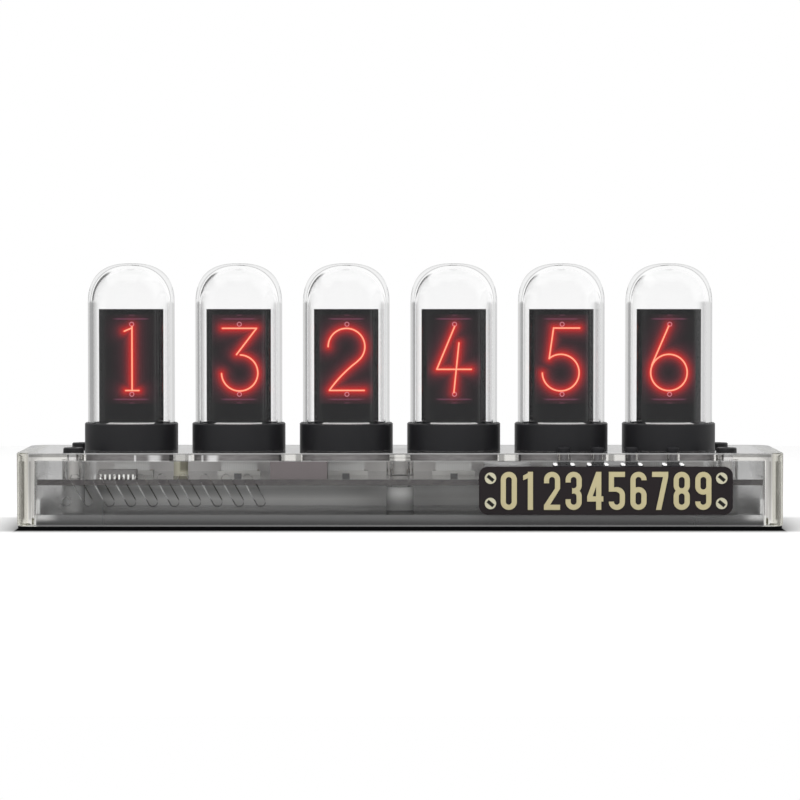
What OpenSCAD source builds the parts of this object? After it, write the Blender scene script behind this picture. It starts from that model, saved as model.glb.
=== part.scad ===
// Desk clock: six glowing digit displays under glass domes on a clear base.
// Millimetres. X runs along the base, the front faces -Y, Z is up and 0 is the table.

/* [Base housing] */
// Height of the clear housing, without the pad
base_height = 20; // [19:0.5:24]
// Depth of the clear housing, front to back
base_depth = 45; // [44:0.5:56]
// Clear end from the last tube holder to the end of the housing
end_margin = 17.2; // [15:0.1:24]
// Radius of the upright corners of the housing
corner_radius = 4.5; // [2:0.5:6]
// Thickness of the top wall
top_wall = 2.1; // [1.8:0.1:2.6]
// Thickness of the front and back walls
side_wall = 1.8; // [1.4:0.1:2.1]
// Thickness of the two end walls
end_wall = 4.9; // [3.5:0.1:6.5]
// Thickness of the rubber pad under the base
pad_thickness = 1.1; // [0.8:0.1:2]
// How far the pad stays inside the housing outline
pad_inset = 0.3; // [0.2:0.1:1.5]

/* [Bottom tray] */
// Thickness of the tray floor
tray_floor = 3; // [2:0.1:3.5]
// Thickness of the panel along the back of the tray
rear_panel = 1.4; // [1:0.1:1.8]
// Height of the low rim above the tray floor, round the two ends
end_panel_height = 4.2; // [2:0.1:5]
// Diameter of the four screw posts
post_diameter = 6.2; // [5.4:0.1:7]
// Diameter of the middle post
middle_post_diameter = 7.6; // [5.5:0.1:9]
// Bore of the hollow middle boss under the housing top
middle_bore = 4.4; // [2:0.1:4.8]
// How far the middle boss reaches below the circuit board
middle_boss_reach = 1.6; // [0.5:0.1:3]

/* [Circuit board] */
// Thickness of the circuit board
board_thickness = 1.6; // [1.2:0.1:2]
// From the top of the housing down to the top of the board
board_drop = 7.3; // [7.1:0.1:9]
// Clearance between the board and the housing walls
board_clearance = 0.7; // [0.4:0.1:1.2]

/* [Cover screws] */
// Thread diameter of the four cover screws
screw_diameter = 3; // [2.5:0.1:3.4]
// Diameter of the screw heads
screw_head = 5.7; // [5.2:0.1:7]
// Height of the screw heads
screw_head_height = 1.1; // [0.9:0.1:2.4]
// Length of screw that bites into the tray post
screw_bite = 4; // [3:0.5:6]
// From the end of the housing to the screws
screw_inset_x = 15.2; // [13:0.1:16.5]
// From the front and back of the housing to the screws
screw_inset_y = 9; // [8:0.5:11]

/* [Displays] */
// Width of one display panel
panel_width = 17.8; // [15:0.1:19]
// Height of one display panel
panel_height = 31.6; // [26:0.1:34]
// Thickness of one display panel
panel_thickness = 1.6; // [1.2:0.1:2.2]
// Width of the lit area
active_width = 14.9; // [10:0.1:14.9]
// Height of the lit area
active_height = 24.9; // [18:0.1:24.9]
// Black border above the lit area
active_top_margin = 1.5; // [0.5:0.1:1.6]
// Depth of the lit area below the face of the panel
active_recess = 0.15; // [0.1:0.05:0.4]
// Thickness of the bracket behind the panel
bracket_thickness = 1.2; // [0.8:0.1:1.6]
// Width of each foot of the bracket
foot_width = 2.3; // [1.5:0.1:2.8]
// Depth of the foot in the holder floor
foot_depth = 2.5; // [1.5:0.1:2.9]
// Width of the ribbon cable
ribbon_width = 10; // [6:0.5:10]
// Thickness of the ribbon cable
ribbon_thickness = 0.2; // [0.15:0.05:0.4]
// Length of ribbon glued to the back of the bracket
ribbon_lap = 8; // [4:0.5:14]

/* [Glass domes and holders] */
// Side gap between the panel and the inside of the dome
panel_side_gap = 1.2; // [0.9:0.1:2]
// Wall of the glass dome
dome_wall = 2; // [1.4:0.1:2.4]
// Extra thickness of the dome at its crown
crown_extra = 0.4; // [0:0.1:0.8]
// Clear height from the top of the panel to the outside of the crown
crown_gap = 12.8; // [12.5:0.1:16]
// Width of the small flat left on the crown
crown_flat = 2.5; // [1:0.1:4]
// Wall of the holder ring round the dome
holder_wall = 0.8; // [0.6:0.1:1.6]
// Height of the holder ring above the housing
holder_height = 7.45; // [5:0.05:10]
// Height of the floor inside the holder, above the housing
holder_floor = 1.5; // [1.2:0.1:2.5]
// Chamfer on the top edge of the holder
holder_chamfer = 0.3; // [0.1:0.05:0.5]
// Step of the holder ring that rests on the housing
holder_step = 1; // [0.6:0.1:1.6]
// Free space between neighbouring holders
holder_gap = 4; // [2.6:0.1:6]

/* [Buttons] */
// Diameter of the button stems
button_diameter = 3.5; // [3:0.1:3.9]
// Height of the buttons above the housing
button_rise = 1.35; // [1:0.05:2.5]
// Travel of the buttons
button_travel = 0.25; // [0.2:0.05:0.35]
// Distance between the first three buttons
button_pitch = 9.3; // [7:0.1:9.8]
// From the front of the housing to the buttons
button_inset = 5.5; // [5.4:0.1:5.8]
// Side of the square switch under each button
switch_size = 6; // [5.8:0.1:6.4]
// Height of the switch bodies
switch_height = 3.8; // [3.4:0.1:4.2]
// Diameter of the wide foot that keeps the stem in the switch
stem_foot = 4.4; // [4.2:0.1:4.7]

/* [Front slots] */
// Width of the slanted slots
slot_width = 2.4; // [1.5:0.1:3]
// Distance between the slots along the front
slot_pitch = 5.9; // [5:0.1:6]
// Lean of the slots from upright, in degrees
slot_lean = 29.5; // [0:0.5:35]
// Height between the centres of the round slot ends
slot_rise = 6.3; // [3:0.1:7.5]
// From the end of the housing to the small round hole
slot_inset = 14; // [12:0.1:15]
// From the bottom of the housing to the centres of the lower slot ends
slot_height = 6.7; // [6:0.1:8]

/* [Nameplate] */
// Width of the plate
plate_width = 69.3; // [60:0.1:72]
// Height of the plate
plate_height = 13.1; // [12:0.1:14.5]
// Thickness of the plate
plate_thickness = 1.2; // [0.8:0.1:2]
// Corner radius of the plate
plate_radius = 2.4; // [1:0.1:3.5]
// From the right end of the housing to the plate
plate_inset = 14.3; // [10:0.1:16]
// From the bottom of the housing to the plate
plate_lift = 3.25; // [2.8:0.05:4.5]
// Diameter of the plate screw heads
rivet_head = 3.1; // [2.6:0.1:3.4]
// Height of the plate screw heads
rivet_head_height = 0.5; // [0.4:0.1:0.9]
// Thread diameter of the plate screws
rivet_thread = 1.6; // [1.2:0.1:2]
// From the plate edges to the screws, along the plate
rivet_inset_x = 3.1; // [2.4:0.1:3.8]
// From the plate edges to the screws, up the plate
rivet_inset_y = 3.1; // [2.2:0.1:3.8]
// Height of the raised numerals
numeral_height = 10.4; // [7:0.1:10.6]
// Width of one numeral
numeral_width = 4.4; // [3.6:0.1:4.6]
// Stroke of the numerals
numeral_stroke = 1.4; // [0.9:0.1:1.5]
// Free space between the plate screws and the row of numerals
numeral_margin = 1.25; // [0.75:0.05:2.5]
// How far the numerals stand out of the plate
numeral_relief = 0.3; // [0.2:0.05:0.6]

/* [Parts on the board] */
// From the end of the housing to the middle of the clock chip
clock_chip_inset = 27.5; // [25.5:0.1:29.5]
// From the front edge of the board to the middle of the clock chip
clock_chip_setback = 6; // [5.2:0.1:6.8]
// Length of the clock chip
clock_chip_length = 10.3; // [9:0.1:11]
// Width of the clock chip body
clock_chip_width = 7.5; // [6:0.1:8]
// Height of the clock chip
clock_chip_height = 2.3; // [1.8:0.1:2.6]
// How far the coin cell lies right of the middle between the second and third tubes
cell_shift = 2.2; // [0:0.1:3]
// From the front edge of the board to the middle of the coin cell
cell_setback = 9; // [8.2:0.1:11]
// Diameter of the coin cell
cell_diameter = 12.5; // [10:0.1:12.5]
// Thickness of the coin cell
cell_thickness = 2.5; // [2:0.1:3]
// Wall of the coin cell holder
cell_holder_wall = 1.5; // [1:0.1:1.8]
// Height of the coin cell holder
cell_holder_height = 4.8; // [4.2:0.1:4.9]
// How far the capacitor stands left of the middle between the first two tubes
capacitor_shift = 0.4; // [0:0.1:4]
// From the front edge of the board to the middle of the capacitor
capacitor_setback = 7; // [3:0.1:9]
// Diameter of the capacitor can
capacitor_diameter = 4; // [3:0.1:5]
// Height of the capacitor can
capacitor_height = 4.9; // [4:0.1:4.9]
// From the back edge of the board to the radio module
radio_setback = 1; // [0.5:0.1:4]
// Width of the radio module
radio_width = 16; // [12:0.1:16]
// Length of the radio module
radio_length = 24; // [18:0.1:24]
// Thickness of the radio module board
radio_board = 0.8; // [0.6:0.1:1.2]
// Height of the shield can on the radio module
shield_height = 2.3; // [1.5:0.1:2.4]
// Length of the shield can on the radio module
shield_length = 15; // [10:0.1:16]
// Width of the USB socket shell
usb_width = 8.94; // [8.94:0.01:9.2]
// Height of the USB socket shell
usb_height = 3.16; // [3.16:0.01:3.3]
// Length of the USB socket shell
usb_length = 7.3; // [6.5:0.1:9]
// Depth of the USB mouth inside the back face
usb_recess = 0.5; // [0.2:0.1:1.5]

/* [Hidden] */
$fn = 64;

// Clearances and small details that repeat
fit_gap = 0.1;
button_gap = 0.08;
screw_gap = 0.1;
bite_gap = 0.02;
tray_gap = 0.2;
panel_seat_gap = 0.05;
guide_gap = 0.2;
cut = 0.5;
tube_count = 6;
numeral_count = 10;
capacitor_tube = 2;
cell_tube = 3;
radio_tube = 4;
button_tube = 5;
last_tube = tube_count;

// Tube stack, from the panel outward
dome_inner_r = panel_width / 2 + panel_side_gap;
dome_r = dome_inner_r + dome_wall;
holder_bore_r = dome_r + fit_gap;
holder_r = holder_bore_r + holder_wall;
spigot_r = holder_r - holder_step;
tube_pitch = 2 * holder_r + holder_gap;

// Overall base
base_length = (tube_count - 1) * tube_pitch + 2 * holder_r + 2 * end_margin;
front_y = -base_depth / 2;
back_y = base_depth / 2;
end_x = base_length / 2;
housing_bottom = pad_thickness;
housing_top = pad_thickness + base_height;
top_underside = housing_top - top_wall;

// Inside of the housing
cavity_length = base_length - 2 * end_wall;
cavity_depth = base_depth - 2 * side_wall;
cavity_radius = 1;
screw_x = end_x - screw_inset_x;
screw_y = back_y - screw_inset_y;

// Tray and board levels
tray_top = housing_bottom + tray_floor;
board_top = housing_top - board_drop;
board_bottom = board_top - board_thickness;
middle_boss_end = board_bottom - middle_boss_reach;
panel_back = cavity_depth / 2 - tray_gap;
panel_front = panel_back - rear_panel;
panel_gap_to_posts = 0.3;
panel_length = 2 * (screw_x - post_diameter / 2 - panel_gap_to_posts);
end_panel_length = cavity_length - 2 * tray_gap - 2 * cavity_radius;
end_rim_x = cavity_length / 2 - tray_gap - rear_panel / 2;
end_rim_depth = cavity_depth - 2 * tray_gap - 2 * cavity_radius;
board_front = front_y + side_wall + board_clearance;
board_back = panel_front - board_clearance;
board_length = cavity_length - 2 * board_clearance;
board_corner = 1;

// Heights of the display stack above the housing top
panel_base = holder_height + panel_seat_gap;
panel_crown = panel_base + panel_height;
dome_top = panel_crown + crown_gap;
dome_shoulder = dome_top - dome_r;
guide_top = panel_base - guide_gap;
panel_face = -1.4;
bracket_face = panel_face + panel_thickness;
ribbon_face = bracket_face + bracket_thickness;
foot_x = panel_width / 2 - foot_width / 2;
pocket_gap = 0.1;
led_y = -6;
led_size = 2;
led_height = 0.85;
led_window = 5;
socket_depth = 3;
socket_height = 1.2;
socket_side = 1;
ribbon_lift = 0.2;

// Buttons
button_y = front_y + button_inset;
switch_top = board_top + switch_height;
switch_cover = 0.5;
switch_floor = 1.2;
stem_gap = 0.05;
peg_diameter = 1;
peg_height = 0.45;
peg_inset = 0.65;
button_chamfer = 0.3;

// Nameplate placed from the right end of the housing
plate_x = end_x - plate_inset - plate_width / 2;
plate_z = housing_bottom + plate_lift + plate_height / 2;
plate_face = front_y - plate_thickness;
rivet_x = plate_width / 2 - rivet_inset_x;
rivet_z = plate_height / 2 - rivet_inset_y;
rivet_tip = 0.3;
numeral_pitch = (2 * rivet_x - rivet_head - 2 * numeral_margin - numeral_width) / (numeral_count - 1);

// Back socket
usb_x = tube_x(last_tube) - tube_pitch / 2;
usb_z = board_top + usb_height / 2;
usb_wall = 0.3;
usb_side_flat = 0.01;
usb_opening_gap = 0.4;
usb_tongue = 0.7;
usb_tongue_inset = 0.9;

// Places of the parts on the board
clock_chip_x = -end_x + clock_chip_inset;
clock_chip_y = board_front + clock_chip_setback;
chip_standoff = 0.15;
lead_count = 8;
lead_pitch = 1.27;
lead_width = 0.5;
lead_thickness = 0.25;
lead_reach = 1.2;
capacitor_x = tube_x(capacitor_tube) - tube_pitch / 2 - capacitor_shift;
capacitor_y = board_front + capacitor_setback;
capacitor_base = 0.6;
cell_x = tube_x(cell_tube) - tube_pitch / 2 + cell_shift;
cell_y = board_front + cell_setback;
cell_lift = 1.2;
cell_gap = 0.05;
radio_x = tube_x(radio_tube) + tube_pitch / 2;
radio_y = board_back - radio_length / 2 - radio_setback;
shield_margin = 1.5;
usb_chip_size = 5;
usb_chip_height = 1;
usb_chip_y = 6;
regulator_y = -4;
regulator_size = [6.5, 3.5, 1.7];
component_size = [1.6, 0.8, 0.6];
component_pitch = 3;
component_setback = 3;

function tube_x(i) = (i - (tube_count + 1) / 2) * tube_pitch;
function button_x(k) = k < 4 ? tube_x(button_tube) + (k - 1) * button_pitch : tube_x(last_tube);

// Flat plate with four round corners, its underside on z = 0
module round_plate(length, depth, thickness, radius) {
    linear_extrude(thickness)
        rounded_outline(length, depth, radius);
}

module rounded_outline(length, depth, radius) {
    square([length - 2 * radius, depth], center = true);
    square([length, depth - 2 * radius], center = true);
    for (x = [-1, 1], y = [-1, 1])
        translate([x * (length / 2 - radius), y * (depth / 2 - radius)])
            circle(radius);
}

// Upright outline with round ends, its lower end centre on the origin
module slot_outline(rise, width) {
    circle(d = width);
    translate([0, rise])
        circle(d = width);
    translate([-width / 2, 0])
        square([width, rise]);
}

// Stands a flat outline up, facing the front, with its back on the given y
module stand_up(y, thickness) {
    translate([0, y, 0])
        rotate([90, 0, 0])
            linear_extrude(thickness)
                children();
}

// Places its children on the four screw axes
module at_screws() {
    for (x = [-1, 1], y = [-1, 1])
        translate([x * screw_x, y * screw_y, 0])
            children();
}

// Places its children on the four nameplate screw axes
module at_rivets() {
    for (x = [-1, 1], z = [-1, 1])
        translate([plate_x + x * rivet_x, 0, plate_z + z * rivet_z])
            children();
}

// Row of slanted slots, with a round hole where the row begins
module front_slots() {
    first_x = -end_x + slot_inset;
    translate([first_x, housing_bottom + slot_height])
        circle(d = slot_width);
    for (n = [1 : 9])
        translate([first_x + n * slot_pitch, housing_bottom + slot_height])
            rotate(slot_lean)
                slot_outline(slot_rise / cos(slot_lean), slot_width);
}

// Opening in the back walls round the USB socket
module usb_opening(gap) {
    translate([usb_x, usb_z])
        rounded_outline(usb_width + 2 * gap, usb_height + 2 * gap, usb_height / 2 + gap - usb_side_flat);
}

module base_housing() {
    color("lightcyan")
        difference() {
            union() {
                difference() {
                    translate([0, 0, housing_bottom])
                        round_plate(base_length, base_depth, base_height, corner_radius);
                    translate([0, 0, housing_bottom - cut])
                        round_plate(cavity_length, cavity_depth, base_height - top_wall + cut, cavity_radius);
                }
                at_screws()
                    translate([0, 0, board_top])
                        cylinder(d = post_diameter, h = top_underside - board_top + cut);
                translate([0, 0, middle_boss_end])
                    cylinder(d = middle_post_diameter, h = top_underside - middle_boss_end + cut);
            }
            for (i = [1 : tube_count])
                translate([tube_x(i), 0, top_underside - cut])
                    cylinder(r = spigot_r + fit_gap, h = top_wall + 2 * cut);
            for (k = [1 : 4])
                translate([button_x(k), button_y, top_underside - cut])
                    cylinder(d = button_diameter + 2 * button_gap, h = top_wall + 2 * cut);
            at_screws()
                translate([0, 0, board_top - cut])
                    cylinder(d = screw_diameter + 2 * screw_gap, h = board_drop + 2 * cut);
            translate([0, 0, middle_boss_end - cut])
                cylinder(d = middle_bore, h = top_underside - middle_boss_end + cut);
            stand_up(front_y + side_wall + cut, side_wall + 2 * cut)
                front_slots();
            stand_up(back_y + cut, side_wall + 2 * cut)
                usb_opening(usb_opening_gap);
            at_rivets()
                translate([0, front_y + side_wall + cut, 0])
                    rotate([90, 0, 0])
                        cylinder(d = rivet_thread + 2 * screw_gap, h = side_wall + 2 * cut, $fn = 32);
        }
}

module base_tray() {
    color("dimgray")
        difference() {
            union() {
                translate([0, 0, housing_bottom])
                    round_plate(cavity_length - 2 * tray_gap, cavity_depth - 2 * tray_gap,
                        tray_floor, cavity_radius);
                translate([-panel_length / 2, panel_front, housing_bottom])
                    cube([panel_length, rear_panel, top_underside - tray_gap - housing_bottom]);
                translate([-end_panel_length / 2, panel_front, housing_bottom])
                    cube([end_panel_length, rear_panel, tray_floor + end_panel_height]);
                for (side = [-1, 1])
                    translate([side * end_rim_x - rear_panel / 2, -end_rim_depth / 2, housing_bottom])
                        cube([rear_panel, end_rim_depth, tray_floor + end_panel_height]);
                at_screws()
                    translate([0, 0, housing_bottom])
                        cylinder(d = post_diameter, h = board_bottom - housing_bottom);
                translate([0, 0, housing_bottom])
                    cylinder(d = middle_post_diameter, h = middle_boss_end - housing_bottom);
            }
            at_screws()
                translate([0, 0, board_bottom - screw_bite - cut])
                    cylinder(d = screw_diameter + 2 * bite_gap, h = screw_bite + 2 * cut);
            stand_up(panel_back + cut, rear_panel + 2 * cut)
                usb_opening(usb_opening_gap);
        }
}

module base_pad() {
    color("black")
        round_plate(base_length - 2 * pad_inset, base_depth - 2 * pad_inset,
            pad_thickness, corner_radius - pad_inset);
}

// Low round head with a hexagon socket, its underside on z = 0
module screw_head_shape() {
    edge = screw_head_height / 4;
    socket = screw_head * 0.42;
    difference() {
        rotate_extrude()
            polygon([
                [0, 0], [screw_head / 2, 0],
                [screw_head / 2, screw_head_height - edge],
                [screw_head / 2 - edge, screw_head_height],
                [0, screw_head_height]
            ]);
        translate([0, 0, screw_head_height / 2])
            cylinder(d = socket, h = screw_head_height, $fn = 6);
    }
}

module cover_screws() {
    screw_end = board_bottom - screw_bite;
    color("black")
        at_screws() {
            translate([0, 0, housing_top])
                screw_head_shape();
            translate([0, 0, screw_end])
                cylinder(d = screw_diameter, h = housing_top - screw_end + cut / 2);
        }
}

module main_board() {
    depth = board_back - board_front;
    color("#1c1f1d")
        difference() {
            translate([0, board_front + depth / 2, board_bottom])
                round_plate(board_length, depth, board_thickness, board_corner);
            at_screws()
                translate([0, 0, board_bottom - cut])
                    cylinder(d = screw_diameter + 2 * screw_gap, h = board_thickness + 2 * cut);
            translate([0, 0, board_bottom - cut])
                cylinder(d = middle_post_diameter + 2 * screw_gap, h = board_thickness + 2 * cut);
        }
}

// One bent lead of the clock chip, reaching out along -Y from y = 0
module chip_lead() {
    knee = clock_chip_height * 0.55;
    translate([-lead_width / 2, -lead_reach / 2, knee - lead_thickness])
        cube([lead_width, lead_reach / 2 + 0.2, lead_thickness]);
    translate([-lead_width / 2, -lead_reach / 2, 0])
        cube([lead_width, lead_thickness, knee]);
    translate([-lead_width / 2, -lead_reach, 0])
        cube([lead_width, lead_reach / 2 + lead_thickness, lead_thickness]);
}

module clock_chip() {
    color("#26262a")
        translate([clock_chip_x, clock_chip_y, board_top]) {
            translate([-clock_chip_length / 2, -clock_chip_width / 2, chip_standoff])
                cube([clock_chip_length, clock_chip_width, clock_chip_height - chip_standoff]);
            for (side = [0, 1], n = [0 : lead_count - 1])
                rotate(180 * side)
                    translate([(n - (lead_count - 1) / 2) * lead_pitch, -clock_chip_width / 2, 0])
                        chip_lead();
        }
}

module coin_cell_holder() {
    side = cell_diameter + 2 * cell_gap + 2 * cell_holder_wall;
    notch = cell_diameter / 2;
    color("#3a3436")
        translate([cell_x, cell_y, board_top])
            difference() {
                translate([-side / 2, -side / 2, 0])
                    cube([side, side, cell_holder_height]);
                translate([0, 0, cell_lift])
                    cylinder(d = cell_diameter + 2 * cell_gap, h = cell_holder_height);
                translate([-notch / 2, 0, cell_lift])
                    cube([notch, side, cell_holder_height]);
            }
}

module coin_cell() {
    lip = 0.4;
    color("silver")
        translate([cell_x, cell_y, board_top + cell_lift]) {
            cylinder(d = cell_diameter - 2 * lip, h = lip + 0.1);
            translate([0, 0, lip])
                cylinder(d = cell_diameter, h = cell_thickness - lip);
        }
}

module radio_module() {
    color("#22262b")
        translate([radio_x - radio_width / 2, radio_y - radio_length / 2, board_top])
            cube([radio_width, radio_length, radio_board]);
}

module radio_shield() {
    width = radio_width - 2 * shield_margin;
    color("silver")
        translate([radio_x - width / 2, radio_y - radio_length / 2 + shield_margin, board_top + radio_board])
            cube([width, shield_length, shield_height]);
}

// Oval steel shell with a tongue inside, its mouth facing the back
module usb_socket() {
    mouth = back_y - usb_recess;
    tongue_width = usb_width * 0.74;
    color("silver") {
        difference() {
            stand_up(mouth, usb_length)
                usb_opening(0);
            stand_up(mouth + cut, usb_length - usb_wall + cut)
                usb_opening(-usb_wall);
        }
        translate([usb_x - tongue_width / 2, mouth - usb_length + usb_wall / 2, usb_z - usb_tongue / 2])
            cube([tongue_width, usb_length - usb_wall - usb_tongue_inset, usb_tongue]);
    }
}

module usb_chip() {
    color("#26262a")
        translate([usb_x - usb_chip_size / 2, usb_chip_y, board_top])
            cube([usb_chip_size, usb_chip_size, usb_chip_height]);
}

module regulator() {
    color("#26262a")
        translate([usb_x - regulator_size.x / 2, regulator_y, board_top])
            cube(regulator_size);
}

module capacitor() {
    color("darkkhaki")
        translate([capacitor_x, capacitor_y, board_top]) {
            translate([-capacitor_diameter / 2, -capacitor_diameter / 2, 0])
                cube([capacitor_diameter, capacitor_diameter, capacitor_base]);
            cylinder(d = capacitor_diameter, h = capacitor_height);
        }
}

// Small resistors and capacitors beside each display socket
module board_components() {
    row_y = board_back - component_setback - component_size.y / 2;
    color("tan")
        for (i = [1 : tube_count], n = [-1.5 : 1.5])
            translate([tube_x(i) + n * component_pitch - component_size.x / 2, row_y, board_top])
                cube(component_size);
}

// Square switch body with a chamber that keeps the wide foot of the stem
module switch_body(k) {
    peg = switch_size / 2 - peg_inset;
    chamber = switch_height - switch_floor - switch_cover;
    color("#303034")
        translate([button_x(k), button_y, board_top])
            difference() {
                union() {
                    translate([-switch_size / 2, -switch_size / 2, 0])
                        cube([switch_size, switch_size, switch_height]);
                    for (x = [-1, 1], y = [-1, 1])
                        translate([x * peg, y * peg, 0])
                            cylinder(d = peg_diameter, h = switch_height + peg_height);
                }
                translate([0, 0, switch_floor])
                    cylinder(d = stem_foot + 2 * button_gap, h = chamber);
                translate([0, 0, switch_floor])
                    cylinder(d = button_diameter + 2 * button_gap, h = switch_height);
            }
}

// Stem of one push button, from the switch to its cap above the housing
module button(k) {
    foot_bottom = board_top + switch_floor + button_travel + stem_gap;
    foot_top = switch_top - switch_cover - stem_gap;
    cap = housing_top + button_rise;
    r = button_diameter / 2;
    color("#1a1a1c")
        translate([button_x(k), button_y, 0])
            rotate_extrude()
                polygon([
                    [0, foot_bottom], [stem_foot / 2, foot_bottom],
                    [stem_foot / 2, foot_top], [r, foot_top],
                    [r, cap - button_chamfer], [r - button_chamfer, cap], [0, cap]
                ]);
}

module nameplate() {
    color("#322d2f")
        difference() {
            translate([plate_x, 0, plate_z])
                stand_up(front_y, plate_thickness)
                    rounded_outline(plate_width, plate_height, plate_radius);
            at_rivets()
                translate([0, front_y + cut, 0])
                    rotate([90, 0, 0])
                        cylinder(d = rivet_thread + 2 * screw_gap, h = plate_thickness + 2 * cut, $fn = 32);
        }
}

// Flat heads with a short slanted slot, and threads that end inside the front wall
module nameplate_screws() {
    thread = plate_thickness + side_wall - rivet_tip;
    slot = [rivet_head * 0.62, rivet_head * 0.26, rivet_head_height];
    slot_angle = -40;
    color("#d8d2b0")
        at_rivets()
            translate([0, plate_face, 0])
                rotate([90, 0, 0]) {
                    difference() {
                        cylinder(d = rivet_head, h = rivet_head_height);
                        translate([0, 0, rivet_head_height])
                            rotate(slot_angle)
                                cube(slot, center = true);
                    }
                    translate([0, 0, -thread])
                        cylinder(d = rivet_thread, h = thread + rivet_head_height / 4, $fn = 32);
                }
}

// Ring shaped like a track, with its lower left corner on the origin
module numeral_loop(height) {
    difference() {
        numeral_track(height, 0);
        numeral_track(height, numeral_stroke);
    }
}

module numeral_track(height, inset) {
    r = numeral_width / 2;
    translate([r, r])
        circle(r - inset);
    translate([r, height - r])
        circle(r - inset);
    translate([inset, r])
        square([numeral_width - 2 * inset, height - 2 * r]);
}

// One numeral, with its lower left corner on the origin
module numeral(digit) {
    w = numeral_width;
    h = numeral_height;
    s = numeral_stroke;
    waist = (h - s) / 2;
    bowl = h * 0.6;
    if (digit == 0)
        numeral_loop(h);
    if (digit == 1) {
        translate([(w - s) / 2, 0])
            square([s, h]);
        polygon([[w * 0.05, h * 0.78], [w * 0.05, h * 0.9], [w / 2, h], [w / 2, h * 0.86]]);
    }
    if (digit == 2) {
        intersection() {
            numeral_loop(h);
            polygon([[0, h * 0.7], [0, h], [w, h], [w, h * 0.55], [w - s - 0.4, h * 0.55], [w / 2, h * 0.7]]);
        }
        polygon([[w - s, h * 0.56], [w, h * 0.56], [s * 1.15, s * 0.9], [0, s * 0.9]]);
        square([w, s]);
    }
    if (digit == 3)
        difference() {
            union() {
                numeral_loop(waist + s);
                translate([0, waist])
                    numeral_loop(waist + s);
            }
            translate([-cut, h * 0.28])
                square([w / 2 + cut - s * 0.3, h * 0.44]);
        }
    if (digit == 4) {
        translate([w - s * 1.4, 0])
            square([s, h]);
        polygon([[0, h * 0.22 + s], [w - s * 1.4, h], [w - s * 0.4, h], [s * 1.05, h * 0.22 + s]]);
        translate([0, h * 0.22])
            square([w, s]);
    }
    if (digit == 5) {
        translate([0, h - s])
            square([w, s]);
        translate([0, bowl * 0.8])
            square([s, h - bowl * 0.8]);
        difference() {
            numeral_loop(bowl);
            translate([-cut, bowl * 0.36])
                square([w / 2 + cut, bowl * 0.44]);
        }
    }
    if (digit == 6 || digit == 9)
        translate([w / 2, h / 2])
            rotate(digit == 9 ? 180 : 0)
                translate([-w / 2, -h / 2]) {
                    numeral_loop(bowl);
                    difference() {
                        numeral_loop(h);
                        translate([w / 2, bowl * 0.5])
                            square([w, h * 0.78 - bowl * 0.5]);
                    }
                }
    if (digit == 7) {
        translate([0, h - s])
            square([w, s]);
        polygon([[w - s, h - s], [w, h - s], [w * 0.25 + s, 0], [w * 0.25, 0]]);
    }
    if (digit == 8) {
        numeral_loop(waist + s);
        translate([0, waist])
            numeral_loop(waist + s);
    }
}

module nameplate_numerals() {
    color("#b4aa82")
        stand_up(plate_face, numeral_relief)
            for (n = [0 : numeral_count - 1])
                translate([
                    plate_x + (n - (numeral_count - 1) / 2) * numeral_pitch - numeral_width / 2,
                    plate_z - numeral_height / 2
                ])
                    numeral(n);
}

// Pockets for the two feet of the bracket
module foot_cuts(bottom, top, gap) {
    for (x = [-1, 1])
        translate([x * foot_x - foot_width / 2 - gap, bracket_face - gap, bottom])
            cube([foot_width + 2 * gap, bracket_thickness + 2 * gap, top - bottom]);
}

// Slot that lets the ribbon through
module ribbon_cut(bottom, top, gap) {
    translate([-ribbon_width / 2 - gap, ribbon_face - gap, bottom])
        cube([ribbon_width + 2 * gap, ribbon_thickness + 2 * gap, top - bottom]);
}

// Ring with a floor and a spigot that centres it in the housing top
module tube_holder(i) {
    color("#2b2b2d")
        translate([tube_x(i), 0, housing_top])
            difference() {
                rotate_extrude()
                    polygon([
                        [0, -top_wall], [spigot_r, -top_wall], [spigot_r, 0], [holder_r, 0],
                        [holder_r, holder_height - holder_chamfer],
                        [holder_r - holder_chamfer, holder_height],
                        [holder_bore_r, holder_height],
                        [holder_bore_r, holder_floor], [0, holder_floor]
                    ]);
                foot_cuts(holder_floor - foot_depth, holder_floor + cut, pocket_gap);
                ribbon_cut(-top_wall - cut, holder_floor + cut, 2 * pocket_gap);
                translate([0, led_y, -top_wall - cut])
                    cylinder(d = led_window, h = top_wall + holder_floor + 2 * cut);
            }
}

module light_guide(i) {
    color("white")
        translate([tube_x(i), 0, housing_top])
            difference() {
                translate([0, 0, holder_floor])
                    cylinder(r = dome_inner_r - fit_gap, h = guide_top - holder_floor);
                foot_cuts(holder_floor - cut, guide_top + cut, pocket_gap);
                ribbon_cut(holder_floor - cut, guide_top + cut, 2 * pocket_gap);
            }
}

// Plate behind the panel, standing on two feet with an open slot between them
module display_bracket(i) {
    foot_bottom = holder_floor - foot_depth;
    color("#1f1f21")
        translate([tube_x(i), bracket_face, housing_top]) {
            translate([-panel_width / 2, 0, panel_base])
                cube([panel_width, bracket_thickness, panel_height]);
            for (x = [-1, 1])
                translate([x * foot_x - foot_width / 2, 0, foot_bottom])
                    cube([foot_width, bracket_thickness, panel_base - foot_bottom + cut]);
        }
}

module display_panel(i) {
    color("#17171a")
        translate([tube_x(i), panel_face, housing_top + panel_base])
            difference() {
                translate([-panel_width / 2, 0, 0])
                    cube([panel_width, panel_thickness, panel_height]);
                translate([-active_width / 2, -cut, panel_height - active_top_margin - active_height])
                    cube([active_width, active_recess + cut, active_height]);
            }
}

// Half outline of a dome that stands on y = 0, for turning round the axis
module dome_outline(radius, shoulder) {
    square([radius, shoulder]);
    intersection() {
        translate([0, shoulder])
            circle(radius, $fn = 96);
        translate([0, shoulder])
            square([radius, radius]);
    }
}

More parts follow.
